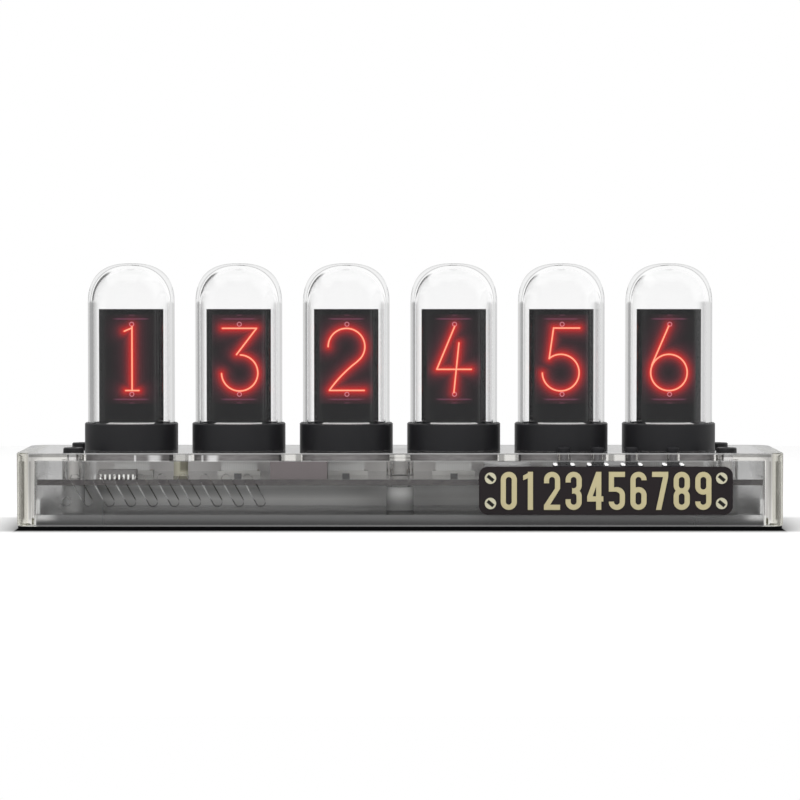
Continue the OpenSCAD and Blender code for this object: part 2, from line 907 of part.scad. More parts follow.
module glass_dome(i) {
    shoulder = dome_shoulder - holder_floor;
    flat_height = dome_top - holder_floor - dome_r + sqrt(pow(dome_r, 2) - pow(crown_flat / 2, 2));
    color("azure")
        translate([tube_x(i), 0, housing_top + holder_floor])
            rotate_extrude($fn = 96)
                difference() {
                    intersection() {
                        dome_outline(dome_r, shoulder);
                        square([dome_r, flat_height]);
                    }
                    translate([0, -cut])
                        dome_outline(dome_inner_r, shoulder - crown_extra + cut);
                }
}

module ribbon_cables() {
    bottom = board_top + ribbon_lift;
    color("#9a9a9c")
        for (i = [1 : tube_count])
            translate([tube_x(i) - ribbon_width / 2, ribbon_face, bottom])
                cube([ribbon_width, ribbon_thickness, housing_top + panel_base + ribbon_lap - bottom]);
}

module ribbon_sockets() {
    length = ribbon_width + 2 * socket_side;
    middle = ribbon_face + ribbon_thickness / 2;
    color("#3c3a38")
        for (i = [1 : tube_count])
            translate([tube_x(i), 0, board_top])
                difference() {
                    translate([-length / 2, middle - socket_depth / 2, 0])
                        cube([length, socket_depth, socket_height]);
                    ribbon_cut(ribbon_lift, socket_height + cut, pocket_gap / 2);
                }
}

module tube_leds() {
    color("#202022")
        for (i = [1 : tube_count])
            translate([tube_x(i) - led_size / 2, led_y - led_size / 2, board_top])
                cube([led_size, led_size, led_height]);
}

base_housing();
base_tray();
base_pad();
cover_screws();
main_board();
clock_chip();
coin_cell_holder();
coin_cell();
radio_module();
radio_shield();
usb_socket();
usb_chip();
regulator();
capacitor();
board_components();
nameplate();
nameplate_numerals();
nameplate_screws();
ribbon_cables();
ribbon_sockets();
tube_leds();
for (k = [1 : 4]) {
    switch_body(k);
    button(k);
}
for (i = [1 : tube_count]) {
    tube_holder(i);
    light_guide(i);
    display_bracket(i);
    display_panel(i);
    glass_dome(i);
}
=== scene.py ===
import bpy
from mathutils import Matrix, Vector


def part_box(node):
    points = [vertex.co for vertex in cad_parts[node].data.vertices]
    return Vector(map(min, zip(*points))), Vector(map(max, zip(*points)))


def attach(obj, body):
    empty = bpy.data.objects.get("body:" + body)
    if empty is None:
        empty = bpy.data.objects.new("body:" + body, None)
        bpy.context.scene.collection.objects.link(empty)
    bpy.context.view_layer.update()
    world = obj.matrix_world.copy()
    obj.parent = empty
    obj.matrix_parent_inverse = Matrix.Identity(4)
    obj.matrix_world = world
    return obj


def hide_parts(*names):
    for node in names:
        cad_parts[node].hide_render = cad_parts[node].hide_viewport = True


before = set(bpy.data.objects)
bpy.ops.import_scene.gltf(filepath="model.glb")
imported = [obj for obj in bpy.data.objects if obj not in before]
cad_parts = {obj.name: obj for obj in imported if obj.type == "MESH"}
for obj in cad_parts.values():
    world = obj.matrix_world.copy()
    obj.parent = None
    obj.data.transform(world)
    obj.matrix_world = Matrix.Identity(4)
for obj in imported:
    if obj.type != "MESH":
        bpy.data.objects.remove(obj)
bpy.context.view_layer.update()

import math

import bmesh
import bpy
from bpy.props import FloatProperty, FloatVectorProperty, IntProperty, PointerProperty
from mathutils import Vector

bl_info = {
    "name": "Desk clock",
    "version": (1, 0, 0),
    "blender": (4, 5, 0),
    "location": "View3D > Sidebar > Clock",
    "description": "Builds the finished look of a six digit desk clock over its solid model",
    "category": "Add Mesh",
}

MM = 0.001
PER_METRE = 1000
# Points closer than this count as one
TOUCH = 0.001 * MM
# Angle in radians from which an edge of the housing counts as a corner
CORNER_ANGLE = 1.0
# A face larger than this stays flat up to its edges
BROAD_FACE = 40 * MM * MM

TUBES = range(1, 7)
KEYS = range(1, 5)
# What the tubes show, from left to right
ROW = (1, 3, 2, 4, 5, 6)

# Strokes of the digits in millimetres from the middle of the screen, angles in degrees.
# A line runs between two points. An arc has centre, radius, middle direction and half its sweep.
STROKES = {
    1: [("line", 0.27, 9.1, 0.27, -8.73), ("line", -1.87, 7.8, 0.27, 8.7),
        ("line", -1.5, -8.75, 2.15, -8.75)],
    2: [("arc", 0.08, 3.5, 5.08, 63.5, 116.5), ("arc", 25.04, -29.62, 36.34, 135.9, 8.9),
        ("line", -4.66, -8.72, 5.0, -8.72)],
    3: [("line", -4.49, 8.6, 4.97, 8.6), ("line", 4.97, 8.6, -0.58, 1.29),
        ("arc", 0.28, -3.85, 5.03, -45, 133)],
    4: [("line", 0.23, 9.1, -4.72, -2.84), ("line", -4.72, -2.84, 4.85, -2.84),
        ("line", 1.43, 4.52, 0.04, -9.26)],
    5: [("line", 5.05, 8.68, -2.18, 8.68), ("line", -2.18, 8.68, -3.38, 0.14),
        ("arc", -0.17, -3.75, 5.1, -25.5, 153)],
    6: [("line", -0.1, 9.21, -4.76, -1.66), ("arc", 0.01, -3.71, 5.06, 0, 180)],
}
# Two eyelets that hold the wire of a digit: distance to the side, radius and heights
EYELET_SIDE, EYELET_RADIUS, EYELET_HEIGHTS = 0.2, 0.56, (9.74, -9.79)
# Short marks above and below the electrode lines: their ends to the sides and their heights
MARK_ENDS, MARK_HEIGHTS = (-0.3, 0.7), (12.3, -12.25)
RAIL_TOP, RAIL_BOTTOM = 11.22, -11.2

# Bands of painted shade at the upright corners of the base: millimetres from its end, width and share
CORNER_SHADE = ((1.03, 0.2, 0.75), (2.15, 0.45, 1.0), (4.04, 0.28, 0.7), (5.8, 0.3, 0.2))
# Painted highlights in the front edge of the top wall: millimetres along the base, width and share
TOP_HIGHLIGHTS = (
    (-72.4, 0.3, 0.8), (-67.1, 1.7, 0.8), (-57.4, 0.4, 0.7), (-54.0, 0.3, 0.7), (-51.2, 1.5, 0.9))
# Painted light and shade on the panel along the back: heights in millimetres and share of its colour
BACK_LIGHT, BACK_HEIGHT = ((4.3, 1.02), (5.9, 1.45), (7.4, 1.12), (8.6, 1.08), (9.6, 1.48)), 14

# Soft lamps: name, place and size in metres, and share of the lamp light
LAMPS = (
    ("Lamp_above", (0, -0.25, 0.95), (1.3, 0.9), 0.9),
    ("Lamp_front", (0, -1.15, 0.13), (1.7, 0.22), 0.85),
    ("Lamp_left", (-0.9, -0.75, 0.6), (0.7, 0.7), 0.25),
)
LAMP_AIM = (0, 0, 0.03)
# Half width and half depth of the floor in metres
FLOOR_HALF = (0.22, 0.42, 1)
# Share of a metal's colour in its darkest clouds
METAL_CLOUD = 0.92


def shade(red, green, blue):
    """A colour picked on a screen, from 0 to 255, as the linear colour that a shader takes."""
    return tuple(
        c / 255 / 12.92 if c <= 10 else ((c / 255 + 0.055) / 1.055) ** 2.4 for c in (red, green, blue))


def grey(level):
    """A grey picked on a screen, from 0 to 255, as a linear colour."""
    return shade(level, level, level)


def even(share):
    """A linear grey from 0 to 1."""
    return (share, share, share)


def middle_of(node):
    """Middle of a node's box."""
    low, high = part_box(node)
    return (low + high) / 2


def beside_tube(x):
    """How far a point stands to the side of the nearest tube's axis."""
    first, second = middle_of("tube_holder_1").x / MM, middle_of("tube_holder_2").x / MM
    half = (second - first) / 2
    return abs(((x - first + half) % (2 * half)) - half)


class ClockSizes(bpy.types.PropertyGroup):
    screen_width: FloatProperty(
        name="Screen width", description="Width of the lit area of one display",
        default=14.9 * MM, unit="LENGTH")
    screen_height: FloatProperty(
        name="Screen height", description="Height of the lit area of one display",
        default=24.9 * MM, unit="LENGTH")
    screen_top: FloatProperty(
        name="Screen top border", description="Black border above the lit area",
        default=1.5 * MM, unit="LENGTH")
    screen_recess: FloatProperty(
        name="Screen recess", description="Depth of the recess that the lit area fills",
        default=0.15 * MM, unit="LENGTH")
    wire_width: FloatProperty(
        name="Glowing wire", description="Width of the glowing wire of a digit",
        default=0.36 * MM, unit="LENGTH")
    halo_reach: FloatProperty(
        name="Halo", description="Distance over which the red halo of a digit fades",
        default=1.15 * MM, unit="LENGTH")
    dome_steps: IntProperty(
        name="Dome steps", description="Flat facets round one glass dome", default=144, min=48, max=256)
    dome_wall: FloatProperty(
        name="Dome wall", description="Thickness of the glass of a dome", default=1.5 * MM, unit="LENGTH")
    dome_top: FloatProperty(
        name="Dome top", description="Thickness of the glass at the top of a dome",
        default=1.45 * MM, unit="LENGTH")
    dome_rise: FloatProperty(
        name="Dome rise", description="Height of the hollow above the straight wall",
        default=10.5 * MM, unit="LENGTH")
    dome_power: FloatProperty(
        name="Dome shape", description="2 for a round top of a dome, more for a blunter one",
        default=2.6, min=2)
    hollow_power: FloatProperty(
        name="Hollow shape", description="2 for a round top of the hollow, more for a blunter one",
        default=2.4, min=2)
    seal_radius: FloatProperty(
        name="Seal", description="Radius of the dull spot inside the top of a dome",
        default=1.3 * MM, unit="LENGTH")
    seat_radius: FloatProperty(
        name="Holder seat", description="Radius of the holes for the holders",
        default=12.1 * MM, unit="LENGTH")
    slot_pitch: FloatProperty(
        name="Slot pitch", description="Distance between the slanted slots",
        default=5.9 * MM, unit="LENGTH")
    slot_lean: FloatProperty(
        name="Slot lean", description="Lean of the slots from upright",
        default=math.radians(29.5), subtype="ANGLE")
    edge_round: FloatProperty(
        name="Edge rounding", description="Rounding of the outer edges of the base",
        default=0.4 * MM, unit="LENGTH")
    corner_radius: FloatProperty(
        name="Corner radius", description="Radius of the upright corners of the base",
        default=4.5 * MM, unit="LENGTH")


class ClockColours(bpy.types.PropertyGroup):
    tray: FloatVectorProperty(
        name="Tray", description="Grey moulding inside the base",
        subtype="COLOR", default=shade(82, 82, 83))
    # The back panel's grey is its own; painted paler still, most above the board, standing in for light on
    # it
    tray_back: FloatVectorProperty(
        name="Tray back", description="Panel along the back of the base, below the board",
        subtype="COLOR", default=grey(166))
    tray_top: FloatVectorProperty(
        name="Tray back, top", description="Panel along the back of the base, above the board",
        subtype="COLOR", default=shade(228, 226, 226))
    holder: FloatVectorProperty(
        name="Holders", description="Rings that hold the domes", subtype="COLOR", default=shade(33, 33, 35))
    display: FloatVectorProperty(
        name="Displays", description="Unlit face of the displays",
        subtype="COLOR", default=shade(24, 24, 25))
    plate: FloatVectorProperty(
        name="Front plate", description="Front plate", subtype="COLOR", default=shade(33, 28, 30))
    brass: FloatVectorProperty(
        name="Brass", description="Numerals of the front plate",
        subtype="COLOR", default=shade(196, 186, 146))
    wire: FloatVectorProperty(
        name="Glowing wire", description="Middle of a glowing digit",
        subtype="COLOR", default=shade(255, 172, 138))
    glow: FloatVectorProperty(
        name="Inner glow", description="Glow beside the wire", subtype="COLOR", default=shade(238, 52, 28))
    halo: FloatVectorProperty(
        name="Halo", description="Red halo round a digit", subtype="COLOR", default=shade(200, 22, 14))


class StageSettings(bpy.types.PropertyGroup):
    camera_distance: FloatProperty(
        name="Camera distance", description="From the middle of the clock", default=1.0, unit="LENGTH")
    camera_height: FloatProperty(
        name="Camera height", description="Above the table", default=73.9 * MM, unit="LENGTH")
    camera_tilt: FloatProperty(
        name="Camera tilt", description="Downwards from level", default=math.radians(2.24), subtype="ANGLE")
    camera_lens: FloatProperty(
        name="Lens", description="Focal length", default=161.2, subtype="DISTANCE_CAMERA")
    room_light: FloatProperty(
        name="Room light", description="Even light from all round", default=0.5)
    lamp_light: FloatProperty(
        name="Lamp light", description="Power of the soft lamp above", default=9.0, unit="POWER")
    dark_side: FloatProperty(
        name="Dark side", description="What glass shows of the unlit sides of the room", default=0.1)
    dark_front: FloatProperty(
        name="Dark front", description="What glass and gloss show of the room behind the camera",
        default=0.1)
    gloss_light: FloatProperty(
        name="Mirrored white", description="What gloss shows of the white backdrop", default=0.65)
    floor_white: FloatProperty(
        name="Floor white", description="Share of the floor that is plain white; the rest takes shadows",
        default=0.32)


class Wire:
    """A shader socket that takes part in plain sums."""

    def __init__(self, finish, socket):
        self.finish, self.socket = finish, socket

    def __add__(self, other):
        return self.finish.sum("ADD", self, other)

    __radd__ = __add__

    def __mul__(self, other):
        return self.finish.sum("MULTIPLY", self, other)

    __rmul__ = __mul__

    def __sub__(self, other):
        return self.finish.sum("SUBTRACT", self, other)

    def __rsub__(self, other):
        return self.finish.sum("SUBTRACT", other, self)

    def __truediv__(self, other):
        return self.finish.sum("DIVIDE", self, other)

    def __pow__(self, other):
        return self.finish.sum("POWER", self, other)

    def __abs__(self):
        return self.finish.sum("ABSOLUTE", self)

    def __neg__(self):
        return self.finish.sum("MULTIPLY", self, -1)

    def __gt__(self, other):
        return self.finish.sum("GREATER_THAN", self, other)

    def __lt__(self, other):
        return self.finish.sum("LESS_THAN", self, other)

    def __mod__(self, other):
        return self.finish.sum("FLOORED_MODULO", self, other)

    def output(self, name):
        return Wire(self.finish, self.socket.node.outputs[name])


class Finish:
    """A node tree and the few ways in which its nodes are made."""

    def __init__(self, owner):
        owner.use_nodes = True
        self.owner, self.tree = owner, owner.node_tree
        self.tree.nodes.clear()

    def node(self, kind, settings=None, sockets=None, out=0):
        """A node of any kind. Sockets that are None keep their default."""
        node = self.tree.nodes.new(kind)
        for key, value in (settings or {}).items():
            if key == "stops":
                ramp = node.color_ramp
                while len(ramp.elements) < len(value):
                    ramp.elements.new(1)
                for element, (place, colour) in zip(ramp.elements, value):
                    element.position, element.color = place, (*colour, 1)
            else:
                setattr(node, key, value)
        for key, value in (sockets or {}).items():
            if isinstance(value, Wire):
                self.tree.links.new(value.socket, node.inputs[key])
            elif value is not None:
                target = node.inputs[key]
                if target.type == "RGBA" and len(value) == 3:
                    value = (*value, 1)
                target.default_value = value
        return Wire(self, node.outputs[out]) if node.outputs else node

    def sum(self, operation, *values):
        return self.node("ShaderNodeMath", {"operation": operation}, dict(enumerate(values)))

    def least(self, *values):
        result = values[0]
        for value in values[1:]:
            result = self.sum("MINIMUM", result, value)
        return result

    def most(self, first, second):
        return self.sum("MAXIMUM", first, second)

    def root(self, value):
        return self.sum("SQRT", value)

    def held(self, value):
        """The value, held between 0 and 1."""
        return self.node("ShaderNodeClamp", None, {"Value": value})

    def rise(self, value, start, end):
        """0 before start, 1 after end and smooth between them."""
        return self.node("ShaderNodeMapRange", {"interpolation_type": "SMOOTHSTEP"},
                         {"Value": value, "From Min": start, "From Max": end})

    def fall(self, value, start, end):
        """1 before start, 0 after end and smooth between them."""
        return 1 - self.rise(value, start, end)

    def band(self, value, start, full, fade, end):
        """1 from full to fade, 0 before start and after end, and smooth between them."""
        return self.rise(value, start, full) * self.fall(value, fade, end)

    def bell(self, value, width, power=2):
        """1 where the value is 0, fading over this width to both sides."""
        return self.sum("EXPONENT", -((value / width) ** power))

    def weigh(self, share, first, second):
        """The first number, with a share of the second."""
        return first + (second - first) * share

    def mix(self, share, first, second):
        """The first colour, with a share of the second."""
        return self.node("ShaderNodeMix", {"data_type": "RGBA"}, {0: share, 6: first, 7: second}, 2)

    def layers(self, colour, *coats):
        """A colour with others laid over it in turn, each given as its share and its colour."""
        for share, coat in coats:
            colour = self.mix(share, colour, coat)
        return colour

    def place(self, centre=(0, 0, 0)):
        """The surface point's x, y and z in millimetres from a centre in metres."""
        spot = self.node("ShaderNodeTexCoord", out="Object")
        parts = self.node("ShaderNodeSeparateXYZ", None, {0: spot}, "X")
        return [(parts.output(axis) - c) * PER_METRE for axis, c in zip("XYZ", centre)]

    def above(self, node):
        """How far the surface point stands above the top of a node, in millimetres."""
        return self.place((0, 0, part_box(node)[1].z))[2]

    def grain(self, size, detail=2.0, stretch=(1, 1, 1)):
        """Cloudy noise from 0 to 1, with clouds of about this size in millimetres."""
        spot = self.node("ShaderNodeTexCoord", out="Object")
        spot = self.node("ShaderNodeMapping", None, {"Vector": spot, "Scale": stretch})
        return self.node("ShaderNodeTexNoise", None,
                         {"Vector": spot, "Scale": PER_METRE / size, "Detail": detail}, "Fac")

    def bump(self, height, depth):
        """A normal from a height of 0 to 1 that stands for this depth in millimetres."""
        return self.node("ShaderNodeBump", None, {"Height": height, "Distance": depth * MM, "Strength": 1.0})

    def surface(self, colour, roughness, normal=None, metallic=None, specular=None, coat=None,
                coat_roughness=None, glow=None, strength=1.0, index=None):
        """A surface, clear if it has an index of refraction. Its glow is light that it gives off."""
        return self.node("ShaderNodeBsdfPrincipled", None, {
            "Base Color": colour, "Roughness": roughness, "Normal": normal, "Metallic": metallic,
            "Specular IOR Level": specular, "Coat Weight": coat, "Coat Roughness": coat_roughness,
            "IOR": index, "Transmission Weight": None if index is None else 1.0,
            "Emission Color": glow, "Emission Strength": None if glow is None else strength})

    def join(self, share, first, second):
        """The first shader, with a share of the second."""
        return self.node("ShaderNodeMixShader", None, {0: share, 1: first, 2: second})

    def show(self, shader, volume=None):
        world = isinstance(self.owner, bpy.types.World)
        self.node("ShaderNodeOutputWorld" if world else "ShaderNodeOutputMaterial", None,
                  {"Surface": shader, "Volume": volume})
        return self.owner

    def show_clear(self, body, shadow, depth, density):
        """Shows a clear body. The lamps shine through it in one colour, and its depth has another."""
        lamps = self.node("ShaderNodeLightPath", out="Is Shadow Ray")
        through = self.node("ShaderNodeBsdfTransparent", None, {"Color": shadow})
        volume = self.node("ShaderNodeVolumeAbsorption", None, {"Color": depth, "Density": density})
        return self.show(self.join(lamps, body, through), volume)


class Rays:
    """The rays that ask for a colour, each kind 0 or 1."""

    def __init__(self, f):
        path = f.node("ShaderNodeLightPath", out="Is Camera Ray")
        mirrored, passed = path.output("Glossy Depth"), path.output("Transmission Depth")
        self.camera, self.length = path, path.output("Ray Length")
        self.glass = path.output("Is Transmission Ray")
        self.gloss = path.output("Is Glossy Ray") * (1 - self.glass)
        # Rays that were never mirrored, and rays caught for long in thick glass
        self.straight, self.caught = mirrored < 0.5, mirrored > 2.5
        # Rays that went into a wall of clear glass and were turned back at its far side
        self.turned = (mirrored > 0.5) * (passed < 2.5)


def finish_named(name):
    """An empty material."""
    return Finish(bpy.data.materials.new(name))


def moulded(name, colour, roughness=0.4, size=0.35, depth=0.004, cloud=0.06, coat=0.0, specular=0.5):
    """Moulded plastic or rubber: faint clouds in its colour and gloss, and a fine skin."""
    f = finish_named(name)
    clouds, skin = f.grain(9, 3), f.grain(size, 3)
    darker, lighter = tuple(c * (1 - cloud) for c in colour), tuple(min(1, c * (1 + cloud)) for c in colour)
    return f.show(f.surface(
        f.mix(clouds, darker, lighter), roughness * 0.9 + clouds * (roughness * 0.2), f.bump(skin, depth),
        specular=specular, coat=coat))


def metal(name, colour, roughness=0.3, size=0.25, depth=0.002, share=1.0):
    """Metal with faint clouds and a fine grain."""
    f = finish_named(name)
    clouds, lines = f.grain(5, 3), f.grain(size, 3)
    return f.show(f.surface(
        f.mix(clouds, tuple(c * METAL_CLOUD for c in colour), colour),
        roughness * 0.8 + lines * (roughness * 0.4), f.bump(lines, depth), metallic=share))


def line_distance(f, x, z, ax, az, bx, bz):
    """Distance in the plane from the line between two points."""
    dx, dz = bx - ax, bz - az
    u, v = x - ax, z - az
    along = f.held((u * dx + v * dz) / (dx * dx + dz * dz))
    u, v = u - along * dx, v - along * dz
    return f.root(u * u + v * v)


def arc_distance(f, x, z, cx, cz, radius, middle, half):
    """Distance in the plane from an arc, whose middle direction and half sweep are in degrees."""
    u, v = x - cx, z - cz
    ring = abs(f.root(u * u + v * v) - radius)
    if half >= 180:
        return ring
    mx, mz = math.cos(math.radians(middle)), math.sin(math.radians(middle))
    sine, cosine = math.sin(math.radians(half)), math.cos(math.radians(half))
    across, along = abs(u * mz - v * mx), u * mx + v * mz
    past_end = across * cosine > along * sine
    u, v = across - sine * radius, along - cosine * radius
    return past_end * f.root(u * u + v * v) + (1 - past_end) * ring


def electrode_mesh(f, x, z):
    """Fine honeycomb from 0 to 1, from three waves that run at 120 degrees to one another."""
    wave, slant, climb = 9.0, 4.5, 7.8
    waves = (wave * x, slant * x + climb * z, slant * x - climb * z)
    lowest, span = -1.5, 4.5
    return (sum(f.sum("COSINE", w) for w in waves) - lowest) / span


def digit_screen(digit, centre, sizes, colours):
    """Dark screen with one glowing wire digit, its eyelets, the electrode lines and a faint mesh."""
    f = finish_named(f"Screen_digit_{digit}")
    x, _, z = f.place(centre)
    measure = {"line": line_distance, "arc": arc_distance}
    away = f.least(*(measure[kind](f, x, z, *numbers) for kind, *numbers in STROKES[digit]))
    half = sizes.wire_width / 2 / MM
    wire = f.fall(away, half * 0.6, half * 1.4)
    glow, halo = f.bell(away, half * 1.7), f.bell(away, sizes.halo_reach / MM, 1.4)
    veil, mesh = f.bell(away, 4.0), electrode_mesh(f, x, z)
    eyelets = f.fall(f.least(*(
        arc_distance(f, x, z, EYELET_SIDE, up, EYELET_RADIUS, 0, 180) for up in EYELET_HEIGHTS)), 0.04, 0.17)
    rails = f.fall(f.least(abs(z - RAIL_TOP), abs(z - RAIL_BOTTOM)), 0.06, 0.32) * f.fall(abs(x), 3.4, 5.6)
    left, right = MARK_ENDS
    marks = f.fall(f.least(*(line_distance(f, x, z, left, up, right, up) for up in MARK_HEIGHTS)), 0.05, 0.4)
    picture = f.layers(
        (0, 0, 0),
        (f.held(veil * (0.6 + mesh * 0.8)), shade(58, 22, 34)),
        (rails * 0.5, shade(122, 66, 92)),
        (marks * 0.3, shade(110, 60, 80)),
        (f.held(halo * (0.85 + mesh * 0.3)), colours.halo),
        (glow, colours.glow),
        (eyelets * 0.6, shade(235, 150, 165)),
        (wire, colours.wire))
    return f.show(f.surface(colours.display, 0.12 + f.grain(6) * 0.04, glow=picture, strength=1.15))


def link_piece(name, bm, material, replaces=(), sharp=30):
    """Makes the piece's object from its mesh and lets it ride on the clock. Sharp is in degrees."""
    for edge in bm.edges:
        broad = max(face.calc_area() for face in edge.link_faces) > BROAD_FACE
        edge.smooth = edge.calc_face_angle(0) < math.radians(1 if broad else sharp)
    for face in bm.faces:
        face.smooth = True
    mesh = bpy.data.meshes.new(name)
    bm.to_mesh(mesh)
    bm.free()
    mesh.materials.append(material)
    piece = bpy.data.objects.new(name, mesh)
    bpy.context.scene.collection.objects.link(piece)
    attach(piece, "clock")
    if replaces:
        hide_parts(*replaces)


def dress(material, *nodes):
    """Gives a material to nodes of the solid model."""
    for node in nodes:
        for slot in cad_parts[node].material_slots:
            slot.material = material


def numbered(name, numbers=TUBES):
    """Names of the like nodes of all tubes, or of all keys."""
    return [f"{name}_{n}" for n in numbers]


def round_edges(bm, edges, size, segments):
    """Rounds edges of a mesh."""
    bmesh.ops.bevel(bm, geom=edges, offset=size, offset_type="OFFSET", affect="EDGES", segments=segments,
                    profile=0.5, material=-1)


def block(bm, low, high, edge):
    """Adds a box between two corners, its edges broken."""
    low, high = Vector(low), Vector(high)
    made = bmesh.ops.create_cube(bm, size=1)["verts"]
    bmesh.ops.scale(bm, vec=high - low, verts=made)
    bmesh.ops.translate(bm, vec=(low + high) / 2, verts=made)
    round_edges(bm, list({e for v in made for e in v.link_edges}), edge, 1)


class CLOCK_OT_stage(bpy.types.Operator):
    """Floor, room light, lamps and camera"""

    bl_idname = "clock.stage"
    bl_label = "Stage"

    def execute(self, context):
        settings, scene = context.scene.clock_stage, context.scene
        scene.view_settings.view_transform = "Standard"
        # The thick clear walls turn light back many times
        scene.cycles.max_bounces = scene.cycles.transmission_bounces = scene.cycles.glossy_bounces = 24
        scene.cycles.transparent_max_bounces = 32
        self.room(scene, settings)
        self.floor(scene, settings)
        self.lamps(scene, settings)
        self.camera(scene, settings)
        return {"FINISHED"}

    def nearer(self, f, ahead, outer, inner):
        """1 for directions within the inner angle of straight ahead, 0 past the outer one."""
        return f.rise(ahead, math.cos(math.radians(outer)), math.cos(math.radians(inner)))

    def room(self, scene, settings):
        """White behind and above, darker to the sides, as glass and gloss show a studio."""
        scene.world = bpy.data.worlds.new("Studio_room")
        f = Finish(scene.world)
        rays = Rays(f)
        way = f.node("ShaderNodeTexCoord", out="Generated")
        x = f.node("ShaderNodeSeparateXYZ", None, {0: way}, "X")
        y, z = x.output("Y"), x.output("Z")
        upward = z / f.most(f.root(x * x + z * z), 0.001)
        above, front, right = f.rise(upward, 0.03, 0.12), f.rise(-y, 0.1, 0.4), f.rise(x, -0.1, 0.1)
        # Light from above, less a dark flag at the left
        white = 1.05
        flag = (1 - self.nearer(f, y, 43, 40)) * f.rise(-x, 0.38, 0.5) * f.fall(z, 0.6, 0.7) * above
        sky = above * white * (1 - flag * 0.98)
        # The backdrop as light shows it that only passed through glass
        inside = white - (f.rise(x, 0.16, 0.36) * 0.48 + f.rise(-x, 0.24, 0.44) * 0.5) * (1 - above)
        outside = sky * (1 - self.nearer(f, y, 31, 30) * 0.25) + (1 - above) * (0.22 + right * 0.36)
        bright = f.weigh(self.nearer(f, y, 33, 25), outside, inside)
        # The backdrop as light shows it that was turned back in a wall of glass
        line = self.nearer(f, y, 35, 33) - self.nearer(f, y, 30, 28)
        line = line * (0.5 + f.fall(abs(x), 0.04, 0.08) * 0.5)
        low_wall = 0.22 + right * 0.5 + f.rise(-z, 0.05, 0.15) * 0.5
        low_wall = f.weigh(self.nearer(f, y, 26, 20), low_wall, 0.62)
        wall = sky * (1 - self.nearer(f, y, 33, 31) * 0.08 - line) + (1 - above) * low_wall
        shown = f.weigh(rays.caught, f.weigh(rays.turned, bright, wall), 0.85)
        through = f.weigh(
            front, f.weigh(shown, settings.dark_side, 1), settings.dark_front + rays.straight * 0.6)
        mirrored = settings.gloss_light * (1 - (1 - bright) * (1 - front) * 0.6 - front * 0.42)
        level = rays.glass * through + rays.gloss * mirrored
        level = level + (1 - rays.glass - rays.gloss) * settings.room_light
        level = f.weigh(rays.camera, level, 1)
        f.show(f.node("ShaderNodeBackground", None, {"Color": (1, 1, 1), "Strength": level}))

    def floor(self, scene, settings):
        """Pale floor, plain white to the camera but for the shadow and a painted contact shadow round the
        pad.
        """
        f = finish_named("Studio_floor")
        rays = Rays(f)
        x, y, _ = f.place()
        behind = f.rise(y, -30, 20)
        mirrored = f.weigh(behind, settings.dark_front, settings.gloss_light)
        # Through glass: a shadow behind the clock, and a dark band to each side of it
        clock_end = 100
        aside = (abs(x) - clock_end) / f.most(y + 10, 1)
        lit = f.weigh(f.rise(aside, 0.04, 0.12), 0.38 + f.rise(y, 60, 420) * 0.35,
                      1 - f.rise(aside, 0.46, 0.5) * 0.6)
        through = settings.dark_front + behind * lit * (1 - f.band(aside, 0.33, 0.36, 0.46, 0.5) * 0.9)
        through = through + (1 - behind) * rays.straight * 0.6
        through = f.weigh(rays.turned * f.rise(rays.length, 0.07, 0.08), through, 0.8)
        white = f.node("ShaderNodeEmission", None, {
            "Color": (1, 1, 1),
            "Strength": rays.camera * 1.3 + rays.gloss * mirrored + rays.glass * through})
        # Painted contact shadow round the pad
        half_length, half_depth = 105, 22.4
        beyond, ahead = f.most(abs(x) - half_length, 0), f.most(abs(y) - half_depth, 0)
        contact_width, end_fade = 6.5, 8
        contact = f.bell(ahead, contact_width) * (
            f.bell(beyond, end_fade, 1) * 0.74 + f.fall(beyond, 0, 0.6) * 0.26)
        share = rays.camera * settings.floor_white * (1 - contact) + (rays.gloss + rays.glass) * 0.96
        tone = f.mix(f.grain(40), even(0.86), even(0.9))
        paper = f.node("ShaderNodeBsdfDiffuse", None, {"Color": f.mix(contact, tone, even(0))})
        f.show(f.join(share, paper, white))
        bm = bmesh.new()
        bmesh.ops.create_grid(bm, x_segments=8, y_segments=8, size=1)
        bmesh.ops.scale(bm, vec=FLOOR_HALF, verts=bm.verts)
        mesh = bpy.data.meshes.new("Studio_floor")
        bm.to_mesh(mesh)
        bm.free()
        mesh.materials.append(f.owner)
        floor = bpy.data.objects.new("Studio_floor", mesh)
        scene.collection.objects.link(floor)

    def lamps(self, scene, settings):
        """Soft lamps that light the clock and are not seen themselves."""
        for name, place, size, share in LAMPS:
            data = bpy.data.lights.new(name, "AREA")
            data.shape, data.size, data.size_y = "RECTANGLE", *size
            data.energy = settings.lamp_light * share
            lamp = bpy.data.objects.new(name, data)
            lamp.location = place
            lamp.rotation_euler = (Vector(LAMP_AIM) - Vector(place)).to_track_quat("-Z", "Y").to_euler()
            lamp.visible_camera = lamp.visible_transmission = lamp.visible_glossy = False
            scene.collection.objects.link(lamp)

    def camera(self, scene, settings):
        data = bpy.data.cameras.new("Camera")
        data.lens, data.sensor_width = settings.camera_lens, 36
        data.clip_start, data.clip_end = 0.05, 60
        camera = bpy.data.objects.new("Camera", data)
        camera.location = (0, -settings.camera_distance, settings.camera_height)
        camera.rotation_euler = (math.pi / 2 - settings.camera_tilt, 0, 0)
        scene.collection.objects.link(camera)
        scene.camera = camera


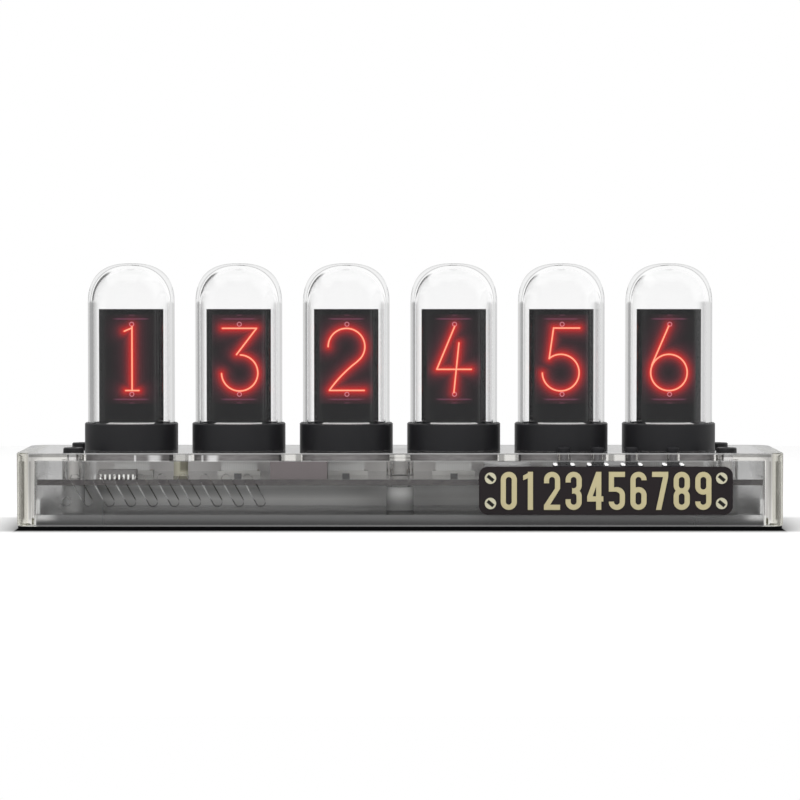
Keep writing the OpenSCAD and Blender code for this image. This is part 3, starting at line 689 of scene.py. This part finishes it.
class CLOCK_OT_base(bpy.types.Operator):
    """Clear housing, grey tray and rubber pad"""

    bl_idname = "clock.base"
    bl_label = "Base"

    def execute(self, context):
        colours = context.scene.clock_colours
        self.housing(context.scene.clock_sizes)
        dress(self.tray(colours), "base_tray")
        dress(self.pad(), "base_pad")
        return {"FINISHED"}

    def pad(self):
        """Black rubber, with painted light: pale under the solid ends of the housing and lighter along its
        top.
        """
        f = finish_named("Pad_rubber")
        x, up, skin = f.place()[0], f.above("base_pad"), f.grain(0.3, 3)
        pale_end_light = f.rise(up, -0.1, -0.02) * f.rise(abs(x), 99, 99.5)
        # Painted light: pale under the solid ends of the housing and lighter along the top edge
        tint = f.layers(shade(7, 7, 8), (f.rise(up, -0.17, -0.1), grey(104)), (pale_end_light, shade(236, 236, 226)))
        return f.show(f.surface(tint, 0.75 + skin * 0.1, f.bump(skin, 0.02), specular=0.1))

    def housing(self, sizes):
        """The housing of the solid model, with its outer edges and those of its slots rounded."""
        low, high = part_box("base_housing")
        radius, margin = sizes.corner_radius, 3 * MM
        bm = bmesh.new()
        bm.from_mesh(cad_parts["base_housing"].data)
        bmesh.ops.remove_doubles(bm, verts=bm.verts, dist=TOUCH)
        bmesh.ops.dissolve_limit(bm, angle_limit=math.radians(0.5), verts=bm.verts, edges=bm.edges)
        outline = []
        for edge in bm.edges:
            spot = (edge.verts[0].co + edge.verts[1].co) / 2
            x, y = max(abs(spot.x) - high.x + radius, 0), max(abs(spot.y) - high.y + radius, 0)
            level = any(all(abs(v.co.z - z) < TOUCH for v in edge.verts) for z in (low.z, high.z))
            outside = math.hypot(x, y) > radius - 0.1 * MM
            if level and outside and edge.calc_face_angle(0) > CORNER_ANGLE:
                outline.append(edge)
        round_edges(bm, outline, sizes.edge_round, 4)
        slots = [edge for edge in bm.edges if edge.calc_face_angle(0) > CORNER_ANGLE and all(
            abs(v.co.y - low.y) < TOUCH and low.z + margin < v.co.z < high.z - margin and v.co.x < 0
            for v in edge.verts)]
        round_edges(bm, slots, sizes.edge_round / 2, 2)
        bmesh.ops.recalc_face_normals(bm, faces=bm.faces)
        acrylic = self.acrylic(low, high, sizes)
        link_piece("housing", bm, acrylic, ["base_housing"], sharp=12)

    def acrylic(self, low, high, sizes):
        """Polished outside and a little frosted in the hollow, with painted shade and painted highlights on
        it.
        """
        f = finish_named("Clear_acrylic")
        x, y, z = f.place((0, 0, low.z))
        ends, front, top = high.x / MM, high.y / MM, (high.z - low.z) / MM
        # Millimetres from the outer faces: 0 on them and less than 0 inside
        side, ahead, behind, up = abs(x) - ends, -y - front, y - front, z - top
        # Frosted faces of the hollow, with painted shade that darkens them at the back and the ends
        upper = f.rise(up, -2.3, -2.2)
        hollow = (1 - upper) * f.fall(abs(y) - front, -0.9, -0.8) * f.fall(side, -4.7, -4.6)
        back, end = f.rise(behind, -2, -1.9), f.rise(side, -5.1, -5)
        window = f.rise(abs(x), 76, 84) * f.band(ahead, -1.9, -1.83, -1.77, -1.7)
        window = window * (1 - f.rise(z, 10.9, 11.2) * 0.5)
        frost = f.held(back + hollow * end * 0.5) * 0.3 + window * 0.36
        veil = hollow * f.held(back * 1.6 + end * f.fall(ahead, -1.9, -1.8))
        # Painted shade in darker bands at the upright corners
        corner = f.rise(ahead, -4.6, -4.5)
        bands = sum(f.bell(side + inset, width) * share for inset, width, share in CORNER_SHADE)
        bands = f.held(bands * corner * f.fall(up, -2.4, -2) * f.rise(z, 1.2, 2.2))
        # Painted dark lines, with a painted glow, along the top edge, the seam below the top wall and the
        # foot
        wall = f.rise(ahead, -1.85, -1.75)
        edges = wall * f.rise(up, -0.36, -0.3) * f.rise(ahead, -0.36, -0.3)
        seam = wall * f.fall(ahead, -1.75, -1.6) * f.band(up, -2.45, -2.4, -2.1, -2.05)
        foot = wall * f.fall(z, 0.32, 0.4) * f.rise(ahead, -0.46, -0.42)
        # Front edge of the top wall: painted shade between the holders, with painted highlights in bright
        # bars
        beside, row = beside_tube(x), f.fall(abs(x), 87.5, 88)
        face = upper * f.rise(ahead, -0.1, -0.05)
        gap = f.band(beside, 11.8, 12.1, 13.2, 13.9) * row + (1 - row) * f.rise(up, -1.2, -1.0)
        gap = gap + f.band(x, -62.8, -62.3, -58.2, -57.6) * 0.7
        highlights = sum(f.bell(x - middle, width, 4) * share for middle, width, share in TOP_HIGHLIGHTS)
        highlights = f.held(highlights) * face * f.fall(up, -0.7, -0.4)
        # Painted shade along one edge and a painted highlight along the other of each slanted slot
        cosine, sine = math.cos(sizes.slot_lean), math.sin(sizes.slot_lean)
        pitch = sizes.slot_pitch / MM * cosine
        first_slot, slot_middle = 14 - ends, 6.7
        across = (x - first_slot) * cosine + (z - slot_middle) * sine
        across = ((across + pitch / 2) % pitch) - pitch / 2
        slots = wall * f.band(x, -88, -87.5, -39, -38) * f.rise(z, 7, 7.6)
        slot_shade = slots * f.band(across, 1.05, 1.12, 1.42, 1.5)
        slot_shade = slot_shade * f.fall(z, 11.4, 11.8) * f.rise(ahead, -0.3, -0.2)
        slot_highlight = slots * f.band(-across, 1.1, 1.16, 1.4, 1.44) * f.fall(z, 10.8, 11.4)
        # Painted highlight at the foot of the end walls
        glint = end * f.fall(side, -4.85, -4.8) * f.fall(z, 2.6, 3.2)
        glint = glint * f.rise(-y, 15, 18) * f.fall(ahead, -1.75, -1.7)
        tint = f.layers(
            even(1),
            (f.held(veil), even(0.3)),
            (f.held(veil - 1), even(0.03)),
            (f.held(face * gap), even(0.24)),
            (corner * f.rise(side, -3.6, -3.4), (1, 0.99, 0.88)),
            (f.held(bands + slot_shade), (0.07, 0.066, 0.05)),
            (f.held(edges + seam + foot) * 0.9, even(0)))
        # Painted highlights, given off as light by the clear walls
        glow = f.layers(
            even(0),
            (slot_highlight, even(0.13)),
            (highlights, even(0.52)),
            (glint, (0.5, 0.5, 0.48)),
            (f.held(edges + seam), even(0.3)),
            (foot, even(0.15)))
        body = f.surface(
            tint, f.grain(14) * 0.02 + frost, f.bump(f.grain(9), 0.0006), glow=glow, index=1.49)
        # Ground walls of the holes that the holders stand in
        seat = abs(f.root(beside * beside + y * y) - sizes.seat_radius / MM)
        ground = f.grain(3, 3, (1, 1, 5))
        body = f.join(row * upper * f.fall(seat, 0.2, 0.3), body, f.surface(
            f.mix(ground, shade(126, 123, 125), shade(186, 183, 185)), 0.6, f.bump(ground, 0.002)))
        return f.show_clear(body, (0.96, 0.96, 0.95), (0.9, 0.89, 0.865), 38)

    def tray(self, colours):
        """Grey moulding, with painted light and shade, paler on the panel along the back."""
        f = finish_named("Tray_grey")
        x, y, z = f.place()
        clouds = f.grain(9, 3)
        # Painted light and shade on the back panel: by height, paler right of the middle, at the ends and on
        # top
        light_stops = [
            (up / BACK_HEIGHT, tuple(share * c for c in colours.tray_back)) for up, share in BACK_LIGHT]
        back = f.layers(
            f.node("ShaderNodeValToRGB", {"stops": light_stops}, {"Fac": z / BACK_HEIGHT}),
            (f.rise(x, -12, 0) * f.rise(z, 5.5, 9), grey(238)),
            (f.rise(abs(x), 86, 88), grey(250)),
            (f.rise(z, 10, 14), colours.tray_top))
        # Painted shade on the front lip, darker towards its foot, with painted light near its ends
        lip = f.layers(
            shade(68, 68, 69),
            (f.rise(z, 1.1, 4.0), shade(116, 116, 117)),
            (f.rise(abs(x), 93, 97.5) * f.rise(z, 2.0, 3.4), grey(205)))
        post = f.fall(abs(abs(x) - 90), 3.3, 3.6) * f.rise(z, 4.2, 4.5)
        boss = f.fall(f.root(x * x + y * y), 5.4, 5.6) * f.rise(z, 4.2, 4.5)
        rim = f.rise(abs(x), 97, 98.5) * f.rise(z, 4.15, 4.3)
        # Painted light: floor paler towards the back; posts, middle boss and end rims paler than the
        # moulding
        tint = f.layers(
            colours.tray,
            (f.rise(y, -14, 22), shade(188, 188, 189)),
            (f.rise(-y, 20.0, 20.3), lip),
            (post, f.mix(f.rise(y, 0, 1), grey(140), grey(190))),
            (boss, f.mix(f.rise(z, 5, 11), grey(120), grey(236))),
            (rim, grey(215)),
            (f.rise(y, 18.6, 19.1), back),
            (clouds * 0.1, even(0.1)))
        # Painted glow at the ends of the tray and along the tops of the end rims, standing in for glints
        glow = f.layers(
            even(0), (f.rise(abs(x), 99.5, 99.7), even(0.2)), (rim * f.rise(z, 5, 8), even(0.07)))
        return f.show(f.surface(tint, 0.16 + clouds * 0.06, f.bump(f.grain(0.4, 3), 0.002), glow=glow))


class CLOCK_OT_board(bpy.types.Operator):
    """Circuit board and what is soldered to it"""

    bl_idname = "clock.board"
    bl_label = "Circuit board"

    def execute(self, context):
        dress(self.board(), "main_board", "radio_module")
        dress(self.chip(), "clock_chip")
        dress(moulded("Chip_epoxy", shade(34, 34, 37), 0.5, size=0.12), "usb_chip", "regulator")
        dress(moulded("Holder_brown", shade(111, 103, 105), 0.45), "coin_cell_holder")
        dress(metal("Bright_steel", shade(214, 214, 216), share=0.4), "coin_cell", "radio_shield")
        dress(self.socket(), "usb_socket")
        dress(self.can(), "capacitor")
        dress(self.small_parts(), "board_components")
        dress(self.switches(), *numbered("switch", KEYS))
        dress(moulded("Socket_pale", shade(215, 214, 212)), "ribbon_sockets")
        dress(moulded("Lamp_lens", shade(92, 92, 94), 0.2, coat=0.5), "tube_leds")
        return {"FINISHED"}

    def board(self):
        """Black solder mask with copper tracks showing through it as faint ridges."""
        f = finish_named("Board_mask")
        cells_per_metre = 260
        tracks = f.node("ShaderNodeTexVoronoi", {"distance": "MANHATTAN", "feature": "DISTANCE_TO_EDGE"},
                        {"Vector": f.node("ShaderNodeTexCoord", out="Object"), "Scale": cells_per_metre})
        ridge = f.fall(tracks, 0.02, 0.12)
        return f.show(f.surface(
            f.mix(ridge * 0.5, shade(76, 73, 74), shade(92, 90, 88)), 0.08 + f.grain(3) * 0.04,
            f.bump(ridge, 0.002), coat=1.0, coat_roughness=0.05))

    def chip(self):
        """Black moulding with bright leads along both long sides."""
        f = finish_named("Chip_and_leads")
        half_body = 3.76
        lead = abs(f.place(middle_of("clock_chip"))[1]) > half_body
        return f.show(f.surface(
            f.mix(lead, shade(112, 110, 110), shade(252, 252, 250)), 0.5 - lead * 0.25,
            f.bump(f.grain(0.15), 0.003), metallic=lead * 0.1))

    def socket(self):
        """Steel shell with a dark tongue inside, and a painted glow on the shell, most at its mouth."""
        f = finish_named("Socket_steel")
        x, y, z = f.place(middle_of("usb_socket"))
        half_height, half_width = 0.36, 3.4
        tongue = (abs(z) < half_height) * (abs(x) < half_width)
        glow = f.mix(y > -3.4, even(0.16), f.mix(tongue, even(0.06), even(0)))
        return f.show(f.surface(
            f.mix(tongue, shade(216, 216, 218), shade(30, 30, 32)), 0.28 + tongue * 0.2,
            f.bump(f.grain(0.3, 2, (1, 6, 1)), 0.002), metallic=0.45 - tongue * 0.45, glow=glow))

    def can(self):
        """Olive sleeve with a dark band, a bright top and a paler foot."""
        f = finish_named("Capacitor_sleeve")
        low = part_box("capacitor")[0]
        x, _, z = f.place((middle_of("capacitor").x, 0, low.z))
        sleeve_top, foot_height = 4.75, 0.62
        top, foot = z > sleeve_top, z < foot_height
        tint = f.layers(
            shade(166, 163, 146),
            (f.rise(x, -0.5, 0.2) * f.rise(z, 1.4, 2.6) * (1 - top), shade(104, 101, 84)),
            (top, shade(196, 196, 194)),
            (foot, shade(110, 108, 98)))
        return f.show(f.surface(tint, 0.35 + foot * 0.15, f.bump(f.grain(0.4), 0.004), metallic=top))

    def small_parts(self):
        """Tan ceramic bodies with tinned ends."""
        f = finish_named("Ceramic_parts")
        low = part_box("board_components")[0]
        pitch, middle, half = 3.0, 0.8, 0.5
        end = abs((f.place(low)[0] % pitch) - middle) > half
        return f.show(f.surface(
            f.mix(end, shade(150, 122, 84), grey(205)), 0.4, f.bump(f.grain(0.2), 0.01), metallic=end))

    def switches(self):
        """Dark switch bodies whose corner pegs are painted pale with a painted glow."""
        f = finish_named("Switch_body")
        peg_height = 0.44
        peg = f.above("switch_1") > -peg_height
        return f.show(f.surface(
            f.mix(peg, shade(44, 44, 48), grey(235)), 0.4 + f.grain(2) * 0.08, f.bump(f.grain(0.2), 0.004),
            glow=f.mix(peg, even(0), even(0.7))))


class CLOCK_OT_screws(bpy.types.Operator):
    """Black screws on top of the base"""

    bl_idname = "clock.screws"
    bl_label = "Cover screws"

    def execute(self, context):
        f = finish_named("Cover_screw")
        up, grain = f.above("base_housing"), f.grain(0.2, 3)
        head = f.rise(up, -0.1, 0)
        # Painted light: the shank is pale below the head, with a painted glow where it stands in the top
        # wall
        glow = f.mix((1 - head) * f.rise(up, -2.2, -2.0), even(0), even(0.4))
        dress(f.show(f.surface(
            f.mix(head, shade(222, 220, 220), shade(40, 40, 42)), 0.35 + grain * 0.1, f.bump(grain, 0.004),
            metallic=0.3, glow=glow)), "cover_screws")
        return {"FINISHED"}


class CLOCK_OT_holders(bpy.types.Operator):
    """Dome holders and the frosted guides in them"""

    bl_idname = "clock.holders"
    bl_label = "Dome holders"

    def execute(self, context):
        dress(self.ring(context.scene.clock_colours), *numbered("tube_holder"))
        dress(self.guide(), *numbered("light_guide"))
        return {"FINISHED"}

    def ring(self, colours):
        """Black satin above; painted paler in streaks in the clear top wall, standing in for light there."""
        f = finish_named("Holder_satin")
        lit_in_wall = f.mix(f.grain(2.5, 3, (1, 1, 4)), shade(104, 103, 104), shade(168, 167, 168))
        return f.show(f.surface(
            f.mix(f.rise(f.above("base_housing"), -0.15, 0), lit_in_wall, colours.holder),
            0.36 + f.grain(9, 3) * 0.06, f.bump(f.grain(0.5, 3), 0.004), specular=0.4))

    def guide(self):
        """Frosted guide with a painted glow in the middle, dark where the feet of the bracket stand."""
        f = finish_named("Guide_frosted")
        side, skin = f.rise(beside_tube(f.place()[0]), 6.3, 6.5), f.grain(0.2, 3)
        return f.show(f.surface(
            f.mix(side, shade(226, 226, 224), shade(30, 30, 32)), 0.55 + skin * 0.1, f.bump(skin, 0.01),
            glow=f.mix(side, even(0.2), even(0))))


class CLOCK_OT_displays(bpy.types.Operator):
    """Display panels, their brackets, ribbons and glowing screens"""

    bl_idname = "clock.displays"
    bl_label = "Displays"

    def execute(self, context):
        sizes, colours = context.scene.clock_sizes, context.scene.clock_colours
        glass = moulded("Display_glass_black", colours.display, 0.12, size=2, depth=0.0, cloud=0.02)
        dress(glass, *numbered("display_panel"))
        dress(moulded("Bracket_black", shade(38, 38, 40)), *numbered("display_bracket"))
        dress(self.ribbon(), "ribbon_cables")
        half, gap, edge = sizes.screen_width / 2, 0.01 * MM, 0.004 * MM
        for tube, digit in zip(TUBES, ROW):
            low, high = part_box(f"display_panel_{tube}")
            x, top = (low.x + high.x) / 2, high.z - sizes.screen_top
            bottom = top - sizes.screen_height
            bm = bmesh.new()
            block(bm, (x - half, low.y + gap, bottom), (x + half, low.y + sizes.screen_recess, top), edge)
            material = digit_screen(digit, (x, low.y, (top + bottom) / 2), sizes, colours)
            link_piece(f"screen_{tube}", bm, material)
        return {"FINISHED"}

    def ribbon(self):
        """Flat grey ribbon with its conductors showing as fine lines."""
        f = finish_named("Ribbon_film")
        pitch = 0.5
        line = f.sum("COSINE", f.place()[0] * (2 * math.pi / pitch)) * 0.5 + 0.5
        return f.show(f.surface(
            f.mix(line, grey(214), grey(228)), 0.35 + line * 0.1, f.bump(line, 0.004)))


class CLOCK_OT_domes(bpy.types.Operator):
    """Clear glass domes"""

    bl_idname = "clock.domes"
    bl_label = "Glass domes"

    def execute(self, context):
        sizes = context.scene.clock_sizes
        glass = self.glass(sizes)
        for tube in TUBES:
            self.dome(tube, sizes, glass)
        return {"FINISHED"}

    def glass(self, sizes):
        """Clear glass with a dull spot inside the top."""
        f = finish_named("Dome_glass")
        x, y, z = f.place((0, 0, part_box("glass_dome_1")[1].z - sizes.dome_top))
        beside, radius = beside_tube(x), sizes.seal_radius / MM
        seal = f.fall(f.root(beside * beside + y * y), radius - 0.3, radius)
        seal = seal * f.band(z, -0.5, -0.4, 0.2, 0.3)
        dull = f.surface(grey(60), 0.5 + f.grain(0.5) * 0.1)
        body = f.join(seal * 0.15, f.surface(even(1), 0.0, index=1.47), dull)
        return f.show_clear(body, even(0.96), (0.96, 0.98, 1.0), 3.0)

    def dome(self, tube, sizes, glass):
        """A half section of the wall, from the hollow's top over the rim to the dome's top, spun."""
        low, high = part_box(f"glass_dome_{tube}")
        x, y, outer = (low.x + high.x) / 2, (low.y + high.y) / 2, (high.x - low.x) / 2
        inner, rim = outer - sizes.dome_wall, sizes.dome_wall * 0.3
        top, rise = high.z - sizes.dome_top, sizes.dome_rise
        lip = [(inner, low.z + rim), (inner + rim, low.z), (outer - rim, low.z), (outer, low.z + rim)]
        steps = 40
        turn = [math.pi / 2 * n / steps for n in range(steps)]
        power, blunt = 2 / sizes.dome_power, 2 / sizes.hollow_power
        outside = [
            (outer * math.cos(a) ** power, high.z - outer + outer * math.sin(a) ** power) for a in turn]
        inside = [
            (inner * math.cos(a) ** blunt, top - rise + rise * math.sin(a) ** blunt) for a in reversed(turn)]
        section = [(0, top), *inside, *lip, *outside, (0, high.z)]
        bm = bmesh.new()
        corners = [bm.verts.new((x + across, y, up)) for across, up in section]
        edges = [bm.edges.new(pair) for pair in zip(corners, corners[1:])]
        bmesh.ops.spin(bm, geom=corners + edges, cent=(x, y, 0), axis=(0, 0, 1), angle=2 * math.pi,
                       steps=sizes.dome_steps, use_merge=True)
        bmesh.ops.remove_doubles(bm, verts=bm.verts, dist=TOUCH)
        bmesh.ops.recalc_face_normals(bm, faces=bm.faces)
        link_piece(f"dome_{tube}", bm, glass, [f"glass_dome_{tube}"], sharp=5)


class CLOCK_OT_buttons(bpy.types.Operator):
    """Push buttons"""

    bl_idname = "clock.buttons"
    bl_label = "Buttons"

    def execute(self, context):
        f = finish_named("Button_black")
        skin = f.grain(0.3, 3)
        # The stems are painted paler where they stand in the clear top wall, standing in for light there
        lit_in_wall = f.band(f.above("base_housing"), -2.3, -2.1, -0.2, -0.1)
        dress(f.show(f.surface(
            f.mix(lit_in_wall, shade(36, 36, 38), shade(102, 100, 102)), 0.55 + skin * 0.1, f.bump(skin, 0.004),
            specular=0.2)), *numbered("button", KEYS))
        return {"FINISHED"}


class CLOCK_OT_nameplate(bpy.types.Operator):
    """Front plate with its raised numerals and screws"""

    bl_idname = "clock.nameplate"
    bl_label = "Front plate"

    def execute(self, context):
        colours = context.scene.clock_colours
        plate = moulded("Plate_black", colours.plate, 0.55, size=0.3, depth=0.006, specular=0.3)
        brass = metal("Plate_brass", colours.brass, 0.42, size=0.3, depth=0.006, share=0.35)
        dress(plate, "nameplate")
        dress(brass, "nameplate_numerals")
        dress(self.screw_heads(), "nameplate_screws")
        return {"FINISHED"}

    def screw_heads(self):
        """Pale brass with a slot at a slant, painted dark as shade in it."""
        f = finish_named("Screw_brass")
        low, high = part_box("nameplate_screws")
        x, _, z = f.place(middle_of("nameplate_screws"))
        radius, lean = 1.55, math.radians(-40)
        # Millimetres from the middle of the nearest head
        across = (abs(x) - (high.x - low.x) / 2 / MM + radius) * ((x > 0) * 2 - 1)
        up = (abs(z) - (high.z - low.z) / 2 / MM + radius) * ((z > 0) * 2 - 1)
        along = across * math.cos(lean) + up * math.sin(lean)
        beside = up * math.cos(lean) - across * math.sin(lean)
        slot = f.fall(abs(beside), 0.42, 0.54) * f.fall(abs(along), 0.98, 1.12)
        return f.show(f.surface(
            f.mix(slot, shade(206, 202, 176), shade(26, 25, 22)), 0.35 + slot * 0.3,
            f.bump(f.grain(0.3), 0.003), metallic=0.4 - slot * 0.4))


OPERATORS = (
    CLOCK_OT_stage, CLOCK_OT_base, CLOCK_OT_board, CLOCK_OT_screws, CLOCK_OT_holders, CLOCK_OT_displays,
    CLOCK_OT_domes, CLOCK_OT_buttons, CLOCK_OT_nameplate,
)


class CLOCK_PT_panel(bpy.types.Panel):
    """Sizes, colours and steps of the clock"""

    bl_idname = "CLOCK_PT_panel"
    bl_label = "Desk clock"
    bl_space_type = "VIEW_3D"
    bl_region_type = "UI"
    bl_category = "Clock"

    def draw(self, context):
        for group in (context.scene.clock_sizes, context.scene.clock_colours, context.scene.clock_stage):
            column = self.layout.column(align=True)
            for name in group.__annotations__:
                column.prop(group, name)
        for operator in OPERATORS:
            self.layout.operator(operator.bl_idname)


CLASSES = (ClockSizes, ClockColours, StageSettings, *OPERATORS, CLOCK_PT_panel)


def register():
    for item in CLASSES:
        bpy.utils.register_class(item)
    bpy.types.Scene.clock_sizes = PointerProperty(type=ClockSizes)
    bpy.types.Scene.clock_colours = PointerProperty(type=ClockColours)
    bpy.types.Scene.clock_stage = PointerProperty(type=StageSettings)


def unregister():
    for name in ("clock_sizes", "clock_colours", "clock_stage"):
        delattr(bpy.types.Scene, name)
    for item in reversed(CLASSES):
        bpy.utils.unregister_class(item)


def main():
    register()
    for operator in OPERATORS:
        group, step = operator.bl_idname.split(".")
        getattr(getattr(bpy.ops, group), step)()


if __name__ == "__main__":
    main()
